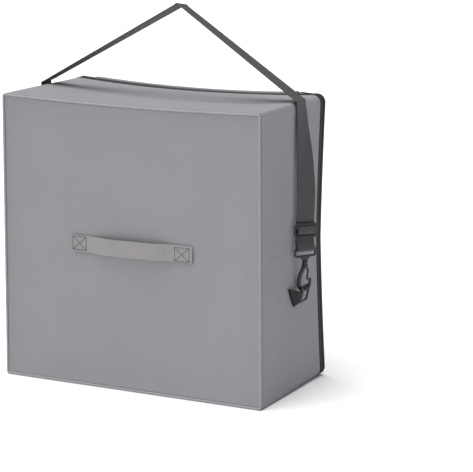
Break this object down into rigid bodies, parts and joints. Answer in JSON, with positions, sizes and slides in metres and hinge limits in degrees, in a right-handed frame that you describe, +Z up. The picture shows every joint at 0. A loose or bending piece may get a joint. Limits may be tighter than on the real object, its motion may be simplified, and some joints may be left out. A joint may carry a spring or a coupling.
{
  "type": "hat storage bag",
  "caption": "Square soft storage bag for hats with a zipped lid, grab handle, snap hooks on side rings and an adjustable shoulder strap.",
  "frame": {"origin": "middle of the underside, where the bag stands", "axes": "+X to the right seen from the front panel, +Y from the front panel back to the zipped lid, +Z up"},
  "size_m": [0.481, 0.2228, 0.5643],
  "materials": {
    "cloth": "matte coated woven cloth",
    "seam_trim": "matte turned seam",
    "zip_tape": "matte black tape",
    "zip_coil": "black coil",
    "black_plastic": "satin moulded",
    "clear_film": "clear flexible film",
    "handle_webbing": "ribbed grey webbing",
    "strap_webbing": "ribbed dark grey webbing",
    "ring_webbing": "black folded webbing",
    "elastic": "light grey elastic",
    "ring_metal": "black coated wire"
  },
  "bodies": {
    "root": {"front_panel": "cloth", "top_wall": "cloth", "bottom_wall": "cloth", "left_wall": "cloth", "right_wall": "cloth", "lid_panel": "cloth", "front_piping": "seam_trim", "lid_rim": "seam_trim", "lid_hinge": "zip_tape", "zip_tape_body": "zip_tape", "zip_tape_lid": "zip_tape", "zip_chain": "zip_coil", "zip_slider": "black_plastic", "zip_pull": "black_plastic", "window_film": "clear_film", "grab_handle": "handle_webbing", "inner_strap_left": "elastic", "inner_strap_right": "elastic", "shoulder_strap": "strap_webbing", "strap_adjuster": "black_plastic", "hook_loop_left": "black_plastic", "hook_loop_right": "black_plastic", "ring_left": "ring_metal", "ring_right": "ring_metal", "ring_tab_left": "ring_webbing", "ring_tab_right": "ring_webbing"},
    "hook_right": {"hook_body_right": "black_plastic"},
    "gate_right": {"hook_gate_right": "black_plastic"},
    "hook_left": {"hook_body_left": "black_plastic"},
    "gate_left": {"hook_gate_left": "black_plastic"}
  },
  "joints": [
    {"name": "swivel_right", "type": "hinge", "parent": "root", "child": "hook_right", "pos_m": [0.22587, 0.01874, 0.19156], "axis": [-0.0662, 0.0911, -0.9936], "range_deg": [0, 60]},
    {"name": "gate_hinge_right", "type": "hinge", "parent": "hook_right", "child": "gate_right", "pos_m": [0.22866, 0.02186, 0.18622], "axis": [-0.6387, 0.7612, 0.1124], "range_deg": [0, 18], "stiffness_Nm_per_rad": 0.01},
    {"name": "swivel_left", "type": "hinge", "parent": "root", "child": "hook_left", "pos_m": [-0.22587, 0.01874, 0.19156], "axis": [-0.0662, -0.0911, 0.9936], "range_deg": [0, 60]},
    {"name": "gate_hinge_left", "type": "hinge", "parent": "hook_left", "child": "gate_left", "pos_m": [-0.22866, 0.02186, 0.18622], "axis": [-0.6387, -0.7612, -0.1124], "range_deg": [0, 18], "stiffness_Nm_per_rad": 0.01}
  ]
}
